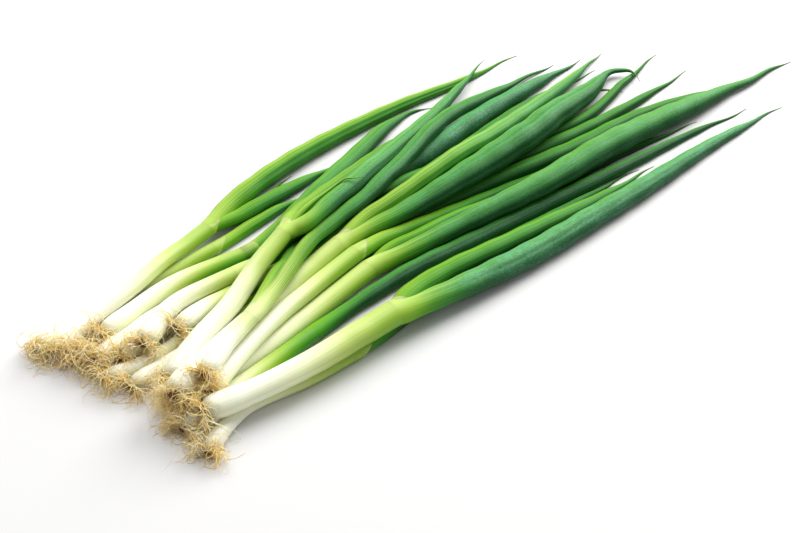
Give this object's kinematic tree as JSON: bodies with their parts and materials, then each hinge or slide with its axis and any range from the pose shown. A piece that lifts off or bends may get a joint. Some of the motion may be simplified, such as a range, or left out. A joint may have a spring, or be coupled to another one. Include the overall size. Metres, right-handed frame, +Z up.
{
  "type": "spring onion bunch",
  "caption": "Loose bunch of spring onions lying on a surface: white stalks side by side, tufts of roots at one end and crossing tubular green leaves at the other.",
  "frame": {"origin": "on the surface that the bunch lies on, under the middle of its bounding box", "axes": "+X along the bunch from the roots to the leaf tips, +Y across it, +Z up from the surface"},
  "size_m": [0.4644, 0.1664, 0.0241],
  "materials": {
    "white_stalk": "smooth, moist, slightly waxy skin with fine veins, white at the root and pale green at the neck",
    "green_leaf": "waxy satin leaf with fine lengthwise veins and a grey-green bloom",
    "tan_root": "dry matt straw-coloured roots"
  },
  "bodies": {
    "root": {"stalk_A": "white_stalk", "leaves_A": "green_leaf", "roots_A": "tan_root", "stalk_B": "white_stalk", "leaves_B": "green_leaf", "roots_B": "tan_root", "stalk_C": "white_stalk", "leaves_C": "green_leaf", "roots_C": "tan_root", "stalk_D": "white_stalk", "leaves_D": "green_leaf", "roots_D": "tan_root", "stalk_E": "white_stalk", "leaves_E": "green_leaf", "roots_E": "tan_root", "stalk_G": "white_stalk", "leaves_G": "green_leaf", "roots_G": "tan_root", "stalk_H": "white_stalk", "leaves_H": "green_leaf", "roots_H": "tan_root", "stalk_I": "white_stalk", "leaves_I": "green_leaf", "roots_I": "tan_root", "stalk_J": "white_stalk", "leaves_J": "green_leaf", "roots_J": "tan_root", "stalk_K": "white_stalk", "leaves_K": "green_leaf", "roots_K": "tan_root", "stalk_L": "white_stalk", "leaves_L": "green_leaf", "roots_L": "tan_root", "stalk_M": "white_stalk", "leaves_M": "green_leaf", "roots_M": "tan_root", "stalk_N": "white_stalk", "leaves_N": "green_leaf", "roots_N": "tan_root", "stalk_O": "white_stalk", "leaves_O": "green_leaf", "roots_O": "tan_root", "stalk_P": "white_stalk", "leaves_P": "green_leaf", "roots_P": "tan_root", "stalk_Q": "white_stalk", "leaves_Q": "green_leaf", "roots_Q": "tan_root", "stalk_R": "white_stalk", "leaves_R": "green_leaf", "roots_R": "tan_root"}
  },
  "joints": []
}
